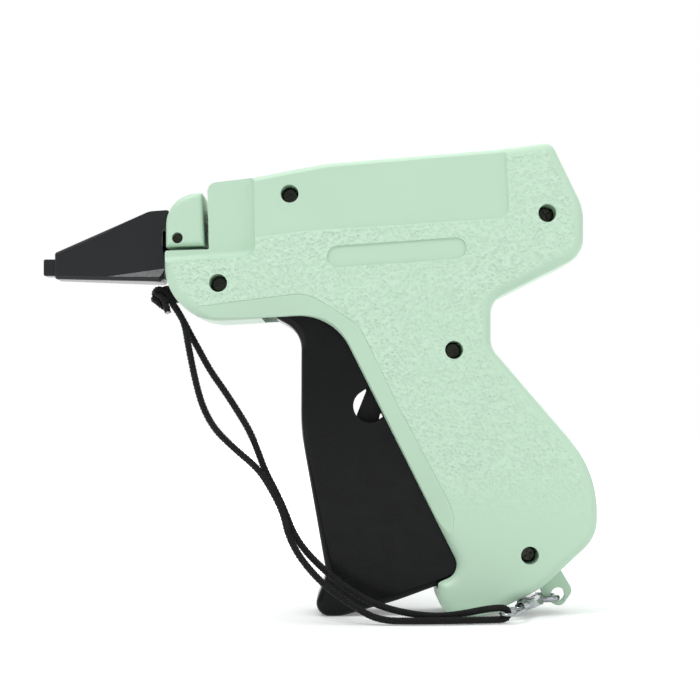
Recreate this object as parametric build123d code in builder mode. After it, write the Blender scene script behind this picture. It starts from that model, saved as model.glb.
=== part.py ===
"""Hand-held garment tag attacher (tagging gun) for plastic T-bar fasteners.

Millimetres. +X points to the back of the gun, -X to the needle, +Z up, -Y to the user's left.
The gun stands on the foot of its trigger and the heel of its grip; the origin is on that surface,
under the middle of the gun.
"""

from build123d import *
from math import atan2, cos, degrees, hypot, pi, radians, sin, tan
import os

os.makedirs("parts", exist_ok=True)

# ---------------------------------------------------------------- driving dimensions
# Housing
shell_half = 13.5  # half the thickness of the housing
wall = 2.2  # wall of the housing
sink = 0.5  # how far a rib or boss goes into the wall that it stands on
over = 5.0  # how far a cutting shape passes what it cuts
shell_edge_r = 3.2  # rounding of the housing's outer edges
nose_step = 2.7  # how much thinner each side is around the nose
panel_depth = 0.6  # smooth panel along the barrel
panel_cove = 0.5  # hollow rounding round the panel
nose_cove = 2.3  # hollow rounding behind the thinner nose
recess_depth = 0.45  # long recess in each side
recess_length = 37.8
recess_height = 5.8
recess_centre = (20.8, 98.9)
recess_tilt = 4.0  # degrees

# Corners of outlines are (x, z, radius).
housing_corners = [
    (-30.7, 117.9, 2.5),
    (-18.2, 119.4, 20.0),
    (2.0, 123.3, 60.0),
    (49.0, 127.2, 30.0),
    (62.9, 129.1, 3.0),
    (71.6, 111.2, 14.0),
    (71.5, 98.3, 7.0),
    (46.4, 85.9, 6.0),
    (46.4, 73.4, 6.0),
    (75.4, 39.6, 30.0),
    (75.4, 21.8, 11.0),
    (60.0, 7.6, 20.0),
    (44.5, 0.0, 14.0),
    (31.9, 0.0, 6.5),
    (31.9, 9.5, 1.0),
    (38.4, 12.3, 3.9),
    (3.4, 82.2, 15.0),
    (-42.2, 79.6, 15.0),
    (-42.2, 99.6, 0.6),
    (-30.2, 100.0, 0.3),
]
mouth_corners = [  # where the trigger goes in between the two shells
    (-15.8, 86.0, 0.0),
    (-15.8, 76.0, 0.0),
    (2.0, 70.0, 0.0),
    (26.0, 8.1, 0.0),
    (32.6, 7.8, 0.0),
    (41.5, 11.6, 2.0),
    (8.0, 88.0, 4.0),
]
nose_zone_corners = [(-60.0, 94.6, 0.0), (-17.4, 97.9, 3.0), (-18.2, 135.0, 0.0), (-60.0, 135.0, 0.0)]
panel_corners = [
    (-18.2, 102.5, 1.5),
    (-4.0, 104.4, 30.0),
    (51.3, 107.9, 3.0),
    (49.6, 140.0, 0.0),
    (-18.2, 140.0, 0.0),
]
bevel_corners = [  # crease where the bevel along the front and the grip starts
    (-46.0, 77.0, 0.0),
    (-36.5, 83.9, 12.0),
    (-19.0, 86.2, 40.0),
    (-3.5, 88.1, 10.0),
    (10.6, 79.4, 9.0),
    (20.9, 58.2, 60.0),
    (37.0, 27.6, 12.0),
    (33.0, 10.0, 0.0),
]
bevel_slope = 0.3
crease_depth = 0.25
crease_width = 0.6
bevel_reach = 14.0
nose_block_corners = [(-42.0, 100.7, 0.0), (-42.0, 115.1, 8.7), (-32.2, 115.4, 0.0), (-31.5, 101.0, 0.0)]
nose_edge_r = 1.6
nose_gap = 0.1  # between pieces that seat on each other round the nose

# Barrel axis: the line of the needle, the ejector rod and the slider
axis_x = -36.4
axis_z = 100.2
barrel_tilt = 5.5  # degrees, needle end lower

# Case screws
screw_places = [(-8.2, 114.8), (-27.5, 90.6), (36.3, 72.5), (61.5, 109.5), (56.8, 16.9)]
screw_pocket_r = 2.45
screw_pocket_depth = 7.4
screw_head_r = 2.2
screw_head_height = 1.7
screw_head_edge_r = 0.5
phillips_length = 2.6
phillips_width = 0.6
phillips_depth = 1.0
phillips_turn = 30  # degrees
screw_r = 1.3
screw_length = 14.0
screw_clearance = 0.05
screw_end_room = 2.2  # depth of the pilot hole beyond the screw's end
boss_r = 3.7

# Trigger and its pin
trigger_pivot = (-6.0, 88.1)
trigger_range = 14.0  # degrees
trigger_play = 1.1  # between the trigger's sides and the inside of the housing
trigger_wall = 2.0
trigger_edge_r = 1.8
trigger_corners = [
    (-11.6, 93.7, 5.4),
    (-12.2, 81.4, 0.8),
    (-5.1, 77.6, 8.0),
    (-5.2, 50.5, 60.0),
    (1.7, 11.6, 6.0),
    (-2.6, 0.0, 3.6),
    (6.0, 0.0, 12.0),
    (21.0, 4.3, 60.0),
    (40.4, 11.4, 3.0),
    (12.6, 71.5, 12.0),
    (-0.4, 93.7, 5.4),
]
trigger_back_corners = [
    (30.0, 10.0, 0.0),
    (46.0, 15.9, 0.0),
    (46.0, 100.0, 0.0),
    (0.0, 100.0, 0.0),
    (0.0, 70.0, 0.0),
]
trigger_top_corners = [(-15.0, 84.0, 0.0), (20.0, 84.0, 0.0), (20.0, 100.0, 0.0), (-15.0, 100.0, 0.0)]
trigger_pin_r = 2.0
trigger_boss_r = 4.2
pin_fit = 0.05  # radial running clearance
pin_cover = 1.0  # plastic left over the end of a pin's hole
pin_end_gap = 0.1
side_gap = 0.2  # side play of moving pieces

# Drive lever, link pin and slider
lever_pivot = (20.5, 63.1)
lever_hub_r = 8.0
lever_neck_half = 6.2
fork_edge_r = 1.4
link_fork_root = 3.0
lever_wing_points = [  # broad front edge of the lower arm
    (12.8, 62.0),
    (10.0, 54.9),
    (11.0, 50.6),
    (14.0, 49.6),
    (18.0, 60.0),
]
lever_half = 2.5
lever_pin_r = 1.75
lever_boss_r = 3.5
lever_boss_play = 1.1  # room round the lever's boss in the trigger's slot
lever_slot_past = 10.0  # degrees that the slot goes on past the boss
link_pin_place = (17.8, 49.2)
link_pin_r = 1.4
link_pin_proud = 0.1  # how far its ends stand out of the trigger
link_play = 1.05
drive_pin_r = 1.5
drive_play = 0.6
drive_drop = 7.5  # drive pin below the barrel axis
fork_wall = 2.2
fork_reach = 1.2  # how far the fork's prongs pass the pin

slider_front = 9.0  # ahead of the drive pin
slider_back = 9.5
slider_top = 4.6  # above the barrel axis
slider_bottom = 2.6  # below the drive pin
slider_half = 7.0
groove_half = 1.7
groove_depth = 1.2
rail_half = 1.5
rail_lead = 1.0  # how far the rails start ahead of the slider's stroke

# Rod, bush and spring, placed along the barrel axis from its reference point
rod_r = 0.65
rod_tip = 10.4
bush_front = 13.0
bush_length = 8.0
bush_half = 3.5
bush_flange = 1.0
flange_half = 4.6
spring_wire_r = 0.25
spring_r = 2.3
spring_turns = 9.5
bumper_length = 4.0
bumper_gap = 0.2
bumper_half = 8.5
bumper_height = 3.6
bumper_stop = 1.6
bumper_stop_reach = 1.0  # how far the stop reaches in past the rail
fork_room = 6.8  # half the length of the slider's slot for the fork
fork_ceiling = -2.0  # top of that slot, from the barrel axis
rod_hold = 6.0  # how far the rod goes into the slider

# Needle
needle_r = 1.15
needle_bore_r = 0.8
needle_tip = -30.5
needle_root = -4.6
needle_slot = 0.7
base_r = 2.6
base_front = -9.6
base_back = -3.6
base_edge_r = 0.8
needle_bevel = 4.5  # length of the needle's slanted point
holder_half = 3.0
holder_front = -5.2
holder_back = 5.0
holder_depth = 5.6
holder_ear_half = 1.2
holder_ear_height = 6.0
holder_ear_back = -0.6
holder_room = 3.0  # cut ahead of the holder
rib_height = 3.0  # rib under the nose block that presses on the holder
rib_back_gap = 0.6
rod_room = 1.0
bar_groove_r = 1.0
nose_screw_place = (-38.8, 103.1)
nose_screw_pocket_r = 1.5
nose_screw_head_r = 1.4
nose_screw_r = 0.9
nose_pocket_depth = 3.2
nose_screw_head_height = 1.0
nose_screw_short = 5.0  # how far the screw ends from the nose block's other side
nose_hole_short = 4.0

# Feed wheel
feed_y = 4.3
feed_height = 6.6
feed_teeth = 12
feed_r = 4.4
feed_root_r = 3.3
feed_thickness = 1.0
feed_tooth = [(feed_root_r, 0), (feed_root_r, 12), (feed_r, 18), (feed_r, 24)]  # radius, degrees
feed_place = 5.4
feed_room = 0.4  # room round the feed wheel
feed_axle_r = 1.2
feed_axle_length = 11.4
ratchet_r = 3.3
ratchet_root_r = 2.6
ratchet_place = 10.4
ratchet_thickness = 1.6
ratchet_tooth = [(ratchet_root_r, 0), (ratchet_r, 29)]
bearing_place = 14.2
bearing_length = 2.4
bearing_half = 2.8
pawl_thickness = 0.5
pawl_gap = 0.12
pawl_reach = 0.4  # how far the pawl's tip passes the axle's line
pawl_block = (9.4, 11.6)
pawl_block_depth = 2.1
pawl_block_side = 0.4

# Needle cap
cap_corners = [
    (-73.4, 99.7, 0.8),
    (-73.4, 92.4, 0.8),
    (-43.6, 91.5, 0.8),
    (-42.7, 96.0, 1.0),
    (-43.5, 101.6, 0.4),
    (-43.5, 105.4, 0.4),
    (-42.8, 106.3, 0.4),
    (-41.0, 111.3, 0.9),
    (-47.0, 110.9, 6.0),
]
cap_tip_corners = [(-76.7, 98.0, 0.5), (-76.7, 93.4, 0.5), (-70.0, 93.4, 0.0), (-70.0, 98.0, 0.0)]
cap_nozzle_half = 2.4
cap_half = 7.2
cap_taper = 3.0  # how much narrower each side is at the tip
cap_edge_r = 1.0
cap_wall = 1.3
cap_mouth = [(-50.0, 93.2), (-38.0, 93.2), (-38.0, 106.0), (-50.0, 106.0)]
cap_seat_place = (-9.0, -7.2)  # from and to, along the barrel
cap_seat_low = -7.3
cap_seat_high = 1.5
cap_relief = 1.2  # how far the sides above the ledge step in, at the back
cap_ledge = [(-58.5, 93.0), (-42.4, 92.7), (-42.4, 95.2)]  # front, low and high ends of the ledge

# Wrist strap, its anchor and its clasp
cord_r = 1.05
cord_corner = 0.45  # how much of the shorter run each corner's arc takes
anchor_half = 1.6
anchor_corners = [(-44.8, 90.8, 2.2), (-44.8, 86.2, 2.2), (-35.0, 86.2, 0.4), (-35.0, 90.8, 0.4)]
pad_corners = [(-41.2, 93.0, 0.0), (-37.4, 85.2, 0.0), (-33.0, 84.2, 0.0), (-33.0, 93.0, 0.0)]
knot_corners = [(-46.2, 91.1, 2.2), (-46.2, 85.4, 2.4), (-40.9, 84.8, 1.8), (-42.3, 91.1, 0.8)]
knot_half = 4.0
knot_edge_r = 1.5
knot_fit = 0.15
tab_corners = [
    (65.2, 14.4, 0.0),
    (67.2, 11.2, 0.6),
    (70.2, 6.0, 2.2),
    (66.8, 1.2, 2.2),
    (62.6, 3.6, 1.6),
    (60.6, 7.6, 0.0),
    (59.4, 9.2, 0.0),
]
tab_thickness = 3.2
tab_hole = (66.1, 4.9)
tab_hole_r = 2.0
clasp_z = 4.0
clasp_turn = 65.0  # degrees, which way the clasp lies on the surface
clasp_fall = 2.5  # degrees, how much the clasp slopes down from the ring tab
hook_r = 3.7
hook_wire_r = 0.9
hook_play = 0.2
clasp_half = 0.95
clasp_barrel = (15.5, 20.0)
clasp_barrel_r = 1.5
clasp_barrel_end = 1.0  # closed end of the barrel
clasp_body_points = [
    (3.0, 0.9),
    (5.5, 1.8),
    (12.0, 1.8),
    (16.0, 1.4),
    (16.0, -1.4),
    (13.2, -1.4),
    (12.8, -2.05),
    (10.6, -2.05),
    (10.2, -1.2),
    (3.2, -0.8),
]
ear_low = 0.7
ear_high = 1.1
ear_r = 1.2
gate_half = 0.6
gate_pivot = (9.0, -3.0)
gate_points = [
    (-1.3, -4.2),
    (-1.3, -2.8),
    (0.0, -2.5),
    (9.0, -2.2),
    (12.4, -2.2),
    (12.6, -2.9),
    (11.8, -3.7),
    (9.0, -4.1),
    (6.2, -4.1),
    (5.0, -6.0),
    (3.9, -6.0),
    (3.6, -4.2),
]
gate_pin_r = 0.5
hook_from = 350.0  # degrees, where the hook's ring leaves the body
hook_to = 230.0  # degrees, where the hook's nose ends
swivel_r = 0.8
eye_near = 23.0  # centres of the eye's two round ends, from the hook's centre
eye_far = 29.5
eye_r = 2.2
eye_wire_r = 0.4
strap_points = [
    (-41.0, -2.4, 85.7),
    (-39.3, -3.0, 83.4),
    (-37.5, -4.0, 80.2),
    (-36.6, -5.2, 75.5),
    (-35.4, -6.2, 69.6),
    (-33.9, -7.2, 63.0),
    (-32.0, -8.4, 56.8),
    (-28.6, -9.8, 50.8),
    (-22.6, -12.2, 45.3),
    (-16.4, -15.6, 40.4),
    (-12.6, -17.8, 34.6),
    (-9.6, -19.5, 28.8),
    (-8.2, -20.9, 22.6),
    (-4.4, -23.4, 16.2),
    (1.6, -26.0, 10.0),
    (8.6, -27.4, 5.2),
    (15.6, -28.2, 1.15),
    (26.4, -28.4, 1.15),
    (37.0, -27.6, 1.15),
    (45.0, -26.0, 1.15),
    (49.8, -25.0, 1.15),
    (49.8, -25.0, 4.25),
    (45.0, -25.2, 4.1),
    (37.0, -25.2, 2.5),
    (31.0, -25.8, 2.0),
    (24.0, -26.2, 2.7),
    (15.8, -26.0, 4.7),
    (8.2, -25.0, 8.6),
    (1.8, -23.2, 13.5),
    (-3.9, -20.8, 18.9),
    (-7.2, -18.5, 23.8),
    (-9.2, -17.0, 29.0),
    (-11.8, -15.3, 34.4),
    (-14.8, -13.4, 39.8),
    (-16.8, -12.2, 45.2),
    (-19.2, -11.0, 50.8),
    (-22.6, -9.4, 56.2),
    (-26.4, -7.2, 61.8),
    (-30.4, -5.0, 67.2),
    (-33.6, -2.8, 72.9),
    (-36.2, -0.8, 77.3),
    (-38.3, 0.6, 81.3),
    (-40.7, 0.9, 85.2),
]

# ---------------------------------------------------------------- places worked out
tilt = radians(barrel_tilt)
along = Vector(cos(tilt), 0, sin(tilt))  # backwards along the barrel
rise = Vector(-sin(tilt), 0, cos(tilt))
barrel_side = Plane(origin=(axis_x, 0, axis_z), x_dir=along, z_dir=(0, -1, 0))


def on_barrel(distance, drop=0.0):
    """Point (x, z) at a distance behind the barrel's reference point and a drop below its axis."""
    return (
        axis_x + distance * cos(tilt) + drop * sin(tilt),
        axis_z + distance * sin(tilt) - drop * cos(tilt),
    )


def across_barrel(distance):
    """Plane square to the barrel: x is the gun's Y, y is up, and it faces backwards."""
    x, z = on_barrel(distance)
    return Plane(origin=(x, 0, z), x_dir=(0, 1, 0), z_dir=along)


def side_plane(y):
    """Plane facing the user's left at the given Y."""
    return Plane.XZ.offset(-y)


def rounded(corners):
    """Closed outline from corners (x, z, radius)."""
    points = [(x, z) for x, z, radius in corners]
    radii = [radius for x, z, radius in corners]
    with BuildSketch() as profile:
        with BuildLine():
            FilletPolyline(points, radius=radii, close=True)
        make_face()
    return profile.sketch


def inset(corners, amount):
    """The same outline, moved inwards by an amount."""
    with BuildSketch() as profile:
        offset(rounded(corners), amount=-amount)
    return profile.sketch


def turned(point, centre, angle):
    """A point (x, z) turned about a centre, in degrees, from X towards Z."""
    a = radians(angle)
    dx = point[0] - centre[0]
    dz = point[1] - centre[1]
    return (centre[0] + dx * cos(a) - dz * sin(a), centre[1] + dx * sin(a) + dz * cos(a))


link_end = turned(link_pin_place, trigger_pivot, trigger_range)
link_reach = hypot(link_pin_place[0] - lever_pivot[0], link_pin_place[1] - lever_pivot[1])
link_end_reach = hypot(link_end[0] - lever_pivot[0], link_end[1] - lever_pivot[1])
link_angle = degrees(atan2(link_pin_place[1] - lever_pivot[1], link_pin_place[0] - lever_pivot[0]))
link_end_angle = degrees(atan2(link_end[1] - lever_pivot[1], link_end[0] - lever_pivot[0]))
lever_swing = link_end_angle - link_angle

pivot_vector = Vector(lever_pivot[0] - axis_x, 0, lever_pivot[1] - axis_z)
pivot_along = pivot_vector.dot(along)
lever_height = -pivot_vector.dot(rise) - drive_drop  # from the lever's pivot to the drive pin's line
half_stroke = lever_height * tan(radians(lever_swing / 2))
drive_rest = pivot_along + half_stroke
drive_reach = hypot(lever_height, half_stroke)
drive_angle = 90 + barrel_tilt - lever_swing / 2
print(f"lever swing {lever_swing:.2f} degrees, ratio {lever_swing / trigger_range:.4f}")
stroke = 2 * half_stroke
print(f"slider stroke {stroke:.2f} mm, {stroke / radians(trigger_range) / 1000:.5f} m per radian")
print("drive pin at rest", on_barrel(drive_rest, drive_drop))

inner_half = shell_half - wall
trigger_half = inner_half - trigger_play
screw_seat = shell_half - screw_pocket_depth
screw_hole_end = screw_length - screw_seat + screw_end_room


# ---------------------------------------------------------------- housing shells
nose_inner = shell_half - nose_step - wall
rail_start = drive_rest - 2 * half_stroke - slider_front - rail_lead
slider_start = drive_rest - slider_front
slider_end = drive_rest + slider_back
slider_low = -drive_drop - slider_bottom
bumper_start = slider_end + bumper_gap
rail_end = bumper_start + bumper_length
rail_tip = slider_half - groove_depth + side_gap
nose_half = shell_half - nose_step


def box_on_barrel(start, end, low, high, y_low, y_high):
    """A block between two distances along the barrel, two heights over its axis and two Y values."""
    with BuildPart() as block:
        with BuildSketch(across_barrel(start)):
            with Locations(((y_low + y_high) / 2, (low + high) / 2)):
                Rectangle(y_high - y_low, high - low)
        extrude(amount=end - start)
    return block.part


def rod_on_barrel(start, end, radius, y=0.0, height=0.0):
    """A round bar parallel to the barrel axis."""
    with BuildPart() as bar:
        with BuildSketch(across_barrel(start)):
            with Locations((y, height)):
                Circle(radius)
        extrude(amount=end - start)
    return bar.part


def pin_across(place, radius, y_low, y_high):
    """A round bar along Y at a place (x, z)."""
    with BuildPart() as bar:
        with BuildSketch(side_plane(y_low)):
            with Locations(place):
                Circle(radius)
        extrude(amount=-(y_high - y_low))
    return bar.part


def plate_across(profile, y_low, y_high):
    """A profile in XZ made solid between two Y values."""
    with BuildPart() as plate:
        with BuildSketch(side_plane(y_low)):
            add(profile)
        extrude(amount=-(y_high - y_low))
    return plate.part


def ordered(side, near, far):
    """The two Y values at distances near and far from the middle, on one side, lowest first."""
    return tuple(sorted((side * near, side * far)))


def step_cut(side, corners, depth, cove):
    """What is taken off one side over an outline, with a hollow rounding round its floor."""
    with BuildPart() as cut:
        add(plate_across(rounded(corners), *ordered(side, shell_half - depth, shell_half + over)))
        inner_face = cut.faces().filter_by(Axis.Y).sort_by(Axis.Y)[-1 if side < 0 else 0]
        fillet(inner_face.edges(), radius=cove)
    return cut.part


def bevel_cut(side):
    """What the bevel takes off one side, from its crease down and forwards."""
    with BuildPart() as cut:
        with BuildLine(side_plane(side * shell_half)):
            crease = FilletPolyline(
                [(x, z) for x, z, radius in bevel_corners],
                radius=[radius for x, z, radius in bevel_corners[1:-1]],
            )
        downwards = Vector(0, 1, 0).cross(crease % 0)
        with BuildSketch(Plane(origin=crease @ 0, x_dir=downwards, z_dir=crease % 0)):
            with BuildLine():
                Polyline(
                    (-crease_depth, side * crease_depth),
                    (crease_depth, -side * crease_depth),
                    (crease_width, -side * bevel_slope * crease_width),
                    (bevel_reach, -side * bevel_slope * bevel_reach),
                    (bevel_reach, side),
                    close=True,
                )
            make_face()
        sweep(path=crease)
    return cut.part


feed_pocket = rod_on_barrel(
    feed_place - feed_room, feed_place + feed_thickness + feed_room, feed_r + feed_room, feed_y, feed_height
)


def housing_half(side):
    """One half of the housing; side is -1 for the user's left and +1 for the right."""
    with BuildPart() as half:
        with BuildSketch(Plane.XZ):
            add(rounded(housing_corners))
        extrude(amount=-side * shell_half)
        outer_face = half.faces().filter_by(Axis.Y).sort_by(Axis.Y)[0 if side < 0 else -1]
        fillet(outer_face.edges(), radius=shell_edge_r)
        # thinner zone round the nose, smooth panel and long recess
        add(step_cut(side, nose_zone_corners, nose_step, nose_cove), mode=Mode.SUBTRACT)
        add(step_cut(side, panel_corners, panel_depth, panel_cove), mode=Mode.SUBTRACT)
        with BuildSketch(side_plane(side * shell_half)):
            with Locations(recess_centre):
                SlotOverall(recess_length, recess_height, rotation=recess_tilt)
        extrude(amount=side * recess_depth, mode=Mode.SUBTRACT)
        add(bevel_cut(side), mode=Mode.SUBTRACT)
        # hollow, shallower round the nose, and the mouth that the trigger goes in at
        with BuildSketch(Plane.XZ):
            add(inset(housing_corners, wall))
            add(inset(nose_zone_corners, -wall), mode=Mode.SUBTRACT)
            add(rounded(mouth_corners))
        extrude(amount=-side * inner_half, mode=Mode.SUBTRACT)
        with BuildSketch(Plane.XZ):
            add(inset(housing_corners, wall))
            add(inset(nose_zone_corners, -wall), mode=Mode.INTERSECT)
        extrude(amount=-side * nose_inner, mode=Mode.SUBTRACT)
        # bosses for the case screws, the trigger pin and the lever pin
        for place in screw_places:
            add(pin_across(place, boss_r, *ordered(side, 0, nose_inner + sink)))
        for place in screw_places[2:] + screw_places[:1]:
            add(pin_across(place, boss_r, *ordered(side, nose_inner, inner_half + sink)))
        add(pin_across(screw_places[1], boss_r, *ordered(side, nose_inner, inner_half + sink)))
        trigger_boss = ordered(side, trigger_half + side_gap, inner_half + sink)
        add(pin_across(trigger_pivot, trigger_boss_r, *trigger_boss))
        add(pin_across(lever_pivot, lever_boss_r, *ordered(side, lever_half + side_gap, inner_half + sink)))
        # rail of the slider, cradle of the rod's bush and seat of the strap's anchor
        rail = ordered(side, rail_tip, inner_half + sink)
        add(box_on_barrel(rail_start, rail_end, -rail_half, rail_half, *rail))
        stop = ordered(side, rail_tip - bumper_stop_reach, inner_half + sink)
        add(box_on_barrel(rail_end, rail_end + bumper_stop, -bumper_height, bumper_height, *stop))
        cradle = ordered(side, bush_half, nose_inner + sink)
        add(box_on_barrel(bush_front, bush_front + bush_length, -bush_half, bush_half, *cradle))
        add(plate_across(rounded(pad_corners), *ordered(side, 0, nose_inner)))
        add(plate_across(rounded(anchor_corners), *ordered(side, 0, anchor_half)), mode=Mode.SUBTRACT)
        pin_room = ordered(side, 0, shell_half - pin_cover)
        add(pin_across(trigger_pivot, trigger_pin_r + pin_fit, *pin_room), mode=Mode.SUBTRACT)
        pin_room = ordered(side, 0, inner_half - pin_cover)
        add(pin_across(lever_pivot, lever_pin_r + pin_fit, *pin_room), mode=Mode.SUBTRACT)
        # seat of the needle holder in the wall under the nose block, and room for the rod and the wheel
        notch = ordered(side, 0, holder_half)
        seat = box_on_barrel(holder_front - holder_room, holder_back, -holder_depth, rib_height, *notch)
        add(seat, mode=Mode.SUBTRACT)
        add(rod_on_barrel(holder_back - sink, bush_front, rod_r + rod_room), mode=Mode.SUBTRACT)
        add(feed_pocket, mode=Mode.SUBTRACT)
        # case screws: pockets and clearance holes on the left, pilot holes on the right
        for place in screw_places:
            if side < 0:
                pocket = ordered(side, screw_seat, shell_half)
                add(pin_across(place, screw_pocket_r, *pocket), mode=Mode.SUBTRACT)
            hole_end = screw_seat if side < 0 else screw_hole_end
            add(pin_across(place, screw_r + screw_clearance, *ordered(side, 0, hole_end)), mode=Mode.SUBTRACT)
    return half.part


pawl_low = feed_height + ratchet_r + pawl_gap
pawl_leaf = box_on_barrel(
    ratchet_place,
    ratchet_place + ratchet_thickness,
    pawl_low,
    pawl_low + pawl_thickness,
    feed_y - pawl_reach,
    nose_inner,
)

with BuildPart() as left_shell:
    add(housing_half(-1))

with BuildPart() as right_shell:
    add(housing_half(1))
    # bearing of the feed wheel's axle
    bearing_end = bearing_place + bearing_length
    bearing_low = feed_height - bearing_half
    bearing_high = feed_height + bearing_half
    bearing = ordered(1, feed_y - bearing_half, nose_inner + sink)
    add(box_on_barrel(bearing_place, bearing_end, bearing_low, bearing_high, *bearing))
    axle_hole = rod_on_barrel(feed_place, bearing_end, feed_axle_r + pin_fit, feed_y, feed_height)
    add(axle_hole, mode=Mode.SUBTRACT)
    # block that holds the root of the ratchet's pawl
    block_start = ratchet_place - pawl_block_side
    block_end = ratchet_place + ratchet_thickness + pawl_block_side
    block = ordered(1, nose_inner - pawl_block_depth, nose_inner + sink)
    add(box_on_barrel(block_start, block_end, *pawl_block, *block))
    add(pawl_leaf, mode=Mode.SUBTRACT)
    # ring tab for the strap's clasp
    add(plate_across(rounded(tab_corners), 0, tab_thickness))
    add(pin_across(tab_hole, tab_hole_r, 0, tab_thickness), mode=Mode.SUBTRACT)


case_screws_made = []
for place in screw_places:
    with BuildPart() as screw:
        add(pin_across(place, screw_r, -screw_seat, screw_length - screw_seat))
        add(pin_across(place, screw_head_r, -screw_seat - screw_head_height, -screw_seat))
        fillet(screw.faces().sort_by(Axis.Y)[0].edges(), radius=screw_head_edge_r)
        with BuildSketch(side_plane(-screw_seat - screw_head_height)):
            with Locations(place):
                Rectangle(phillips_length, phillips_width, rotation=phillips_turn)
                Rectangle(phillips_width, phillips_length, rotation=phillips_turn)
        extrude(amount=-phillips_depth, mode=Mode.SUBTRACT)
    case_screws_made.append(screw.part)

with BuildPart() as case_screws:
    add(case_screws_made)

# ---------------------------------------------------------------- nose
with BuildPart() as needle_holder:
    add(box_on_barrel(holder_front, holder_back, -holder_depth, 0, -holder_half, holder_half))
    add(box_on_barrel(holder_front, holder_ear_back, 0, holder_ear_height, -holder_ear_half, holder_ear_half))
    add(rod_on_barrel(holder_front, base_back, base_r + nose_gap), mode=Mode.SUBTRACT)
    add(rod_on_barrel(holder_front, holder_back, bar_groove_r), mode=Mode.SUBTRACT)
    screw_hole = pin_across(nose_screw_place, nose_screw_r + screw_clearance, -holder_half, holder_half)
    add(screw_hole, mode=Mode.SUBTRACT)

with BuildPart() as nose_block:
    add(plate_across(rounded(nose_block_corners), -nose_half, nose_half))
    fillet(nose_block.faces().sort_by(Axis.Y)[0].edges(), radius=nose_edge_r)
    fillet(nose_block.faces().sort_by(Axis.Y)[-1].edges(), radius=nose_edge_r)
    rib_half = holder_half - nose_gap
    add(box_on_barrel(holder_front, holder_back - rib_back_gap, nose_gap, rib_height, -rib_half, rib_half))
    ear_room = holder_ear_half + nose_gap
    room_start = holder_front - holder_room
    room_end = holder_ear_back + nose_gap
    room_height = holder_ear_height + nose_gap
    add(box_on_barrel(room_start, room_end, -sink, room_height, -ear_room, ear_room), mode=Mode.SUBTRACT)
    add(rod_on_barrel(holder_front - holder_room, base_back, base_r + nose_gap), mode=Mode.SUBTRACT)
    add(rod_on_barrel(holder_front, holder_back + over, bar_groove_r), mode=Mode.SUBTRACT)
    add(feed_pocket, mode=Mode.SUBTRACT)
    head_seat = -nose_half + nose_pocket_depth + nose_screw_head_height
    add(pin_across(nose_screw_place, nose_screw_pocket_r, -nose_half, head_seat), mode=Mode.SUBTRACT)
    hole_end = nose_half - nose_hole_short
    hole = pin_across(nose_screw_place, nose_screw_r + screw_clearance, -nose_half, hole_end)
    add(hole, mode=Mode.SUBTRACT)

with BuildPart() as nose_screw:
    add(pin_across(nose_screw_place, nose_screw_head_r, head_seat - nose_screw_head_height, head_seat))
    add(pin_across(nose_screw_place, nose_screw_r, head_seat, nose_half - nose_screw_short))

with BuildPart() as needle_base:
    add(rod_on_barrel(base_front, base_back, base_r))
    fillet(needle_base.faces().sort_by(Axis.X)[0].edges(), radius=base_edge_r)
    add(rod_on_barrel(needle_root, base_back, bar_groove_r), mode=Mode.SUBTRACT)
    add(rod_on_barrel(base_front, needle_root, needle_r), mode=Mode.SUBTRACT)

with BuildPart() as needle_tube:
    add(rod_on_barrel(needle_tip, needle_root, needle_r))
    add(rod_on_barrel(needle_tip, needle_root, needle_bore_r), mode=Mode.SUBTRACT)
    add(
        box_on_barrel(needle_tip, needle_root, -needle_slot / 2, needle_slot / 2, -2 * needle_r, 0),
        mode=Mode.SUBTRACT,
    )
    # slanted point
    with BuildSketch(barrel_side):
        with BuildLine():
            Polyline(
                (needle_tip, needle_r),
                (needle_tip + needle_bevel, needle_r),
                (needle_tip, -needle_r / 2),
                close=True,
            )
        make_face()
    extrude(amount=2 * needle_r, both=True, mode=Mode.SUBTRACT)

# ---------------------------------------------------------------- needle cap
cap_tip_half = cap_half - cap_taper

cap_front = cap_corners[0][0]
cap_back = cap_corners[3][0]
cap_top = max(z for x, z, radius in cap_corners)
ledge_start = cap_ledge[0][0]
ledge_back = cap_ledge[1][0]


def cap_side(x):
    """Half the cap's width at a place along it."""
    return cap_tip_half + cap_taper * (x - cap_front) / (cap_back - cap_front)


def cap_plan(outline):
    """Block of the cap's height over a plan, given by the (x, y) points of its +Y side."""
    with BuildPart() as block:
        with BuildSketch(Plane.XY):
            with BuildLine():
                Polyline(*outline, *[(x, -y) for x, y in reversed(outline)], close=True)
            make_face()
        extrude(amount=cap_top + over)
    return block.part


def cap_relief_cut(side):
    """What is taken off one side of the cap above its ledge."""
    start = Vector(ledge_start, side * cap_side(ledge_start), cap_ledge[0][1])
    low = Vector(ledge_back, side * cap_side(ledge_back), cap_ledge[1][1])
    high = Vector(ledge_back, side * (cap_side(ledge_back) - cap_relief), cap_ledge[2][1])
    upwards = (low - start).cross(high - start)
    if upwards.Z < 0:
        upwards = -upwards
    with BuildPart() as cut:
        with BuildSketch(Plane.XY.offset(start.Z - over)):
            with BuildLine():
                Polyline(
                    (start.X, start.Y),
                    (high.X, high.Y),
                    (high.X + over, high.Y + over * (high.Y - start.Y) / (high.X - start.X)),
                    (high.X + over, low.Y + side * over),
                    (start.X, start.Y + side * over),
                    close=True,
                )
            make_face()
        extrude(amount=cap_top)
        split(bisect_by=Plane(origin=start, z_dir=upwards), keep=Keep.TOP)
    return cut.part


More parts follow.
